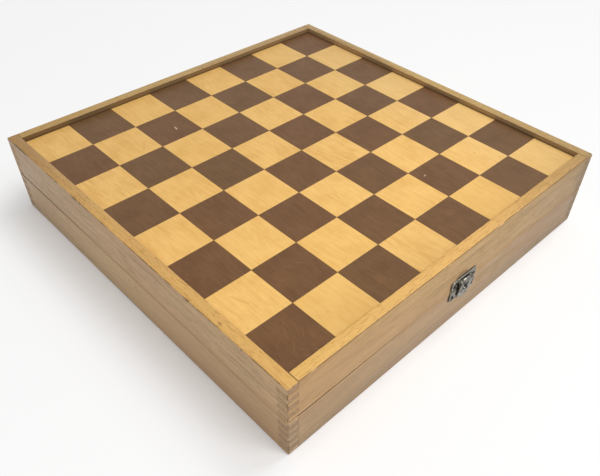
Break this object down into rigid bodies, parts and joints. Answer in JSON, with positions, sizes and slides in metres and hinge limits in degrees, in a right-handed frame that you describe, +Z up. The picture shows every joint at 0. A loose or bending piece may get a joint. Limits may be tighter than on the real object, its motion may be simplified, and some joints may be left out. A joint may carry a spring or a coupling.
{
  "type": "games compendium box",
  "caption": "Square finger-jointed wooden games box with a hinged lid, a chessboard set into the lid, compartments inside and a hasp clasp.",
  "frame": {"origin": "under the middle of the case, on the surface it stands on", "axes": "+X to the right along the clasp side, +Y from the clasp to the hinges, +Z up"},
  "size_m": [0.295, 0.3029, 0.0602],
  "materials": {
    "base_walls": "aged clear-varnished beech",
    "lid_walls": "aged clear-varnished beech",
    "plywood": "plain birch plywood",
    "dividers": "plain birch plywood",
    "dark_veneer": "varnished dark veneer",
    "light_veneer": "varnished pale veneer",
    "hinge_metal": "dull nickel plate",
    "screw_metal": "dull nickel plate",
    "nail_metal": "darkened steel",
    "clasp_metal": "tarnished nickel plate"
  },
  "bodies": {
    "base": {"base_front_wall": "base_walls", "base_back_wall": "base_walls", "base_left_wall": "base_walls", "base_right_wall": "base_walls", "base_bottom_panel": "plywood", "long_divider": "dividers", "left_cross_divider": "dividers", "right_cross_divider": "dividers", "left_hinge_base_leaf": "hinge_metal", "right_hinge_base_leaf": "hinge_metal", "left_hinge_pin": "hinge_metal", "right_hinge_pin": "hinge_metal", "hinge_base_screws": "screw_metal", "clasp_base_plate": "clasp_metal", "clasp_base_nails": "nail_metal"},
    "lid": {"lid_front_wall": "lid_walls", "lid_back_wall": "lid_walls", "lid_left_wall": "lid_walls", "lid_right_wall": "lid_walls", "lid_board_panel": "plywood", "board_dark_squares": "dark_veneer", "board_light_squares": "light_veneer", "left_hinge_lid_leaf": "hinge_metal", "right_hinge_lid_leaf": "hinge_metal", "hinge_lid_screws": "screw_metal", "clasp_lid_plate": "clasp_metal", "clasp_hasp_pin": "clasp_metal", "clasp_lid_nails": "nail_metal"},
    "hasp": {"clasp_hasp": "clasp_metal"}
  },
  "joints": [
    {"name": "lid_hinge", "type": "hinge", "parent": "base", "child": "lid", "pos_m": [0, 0.1496, 0.03085], "axis": [-1, 0, 0], "range_deg": [0, 180]},
    {"name": "hasp_hinge", "type": "hinge", "parent": "lid", "child": "hasp", "pos_m": [0, -0.1494, 0.036], "axis": [-1, 0, 0], "range_deg": [0, 165]}
  ]
}
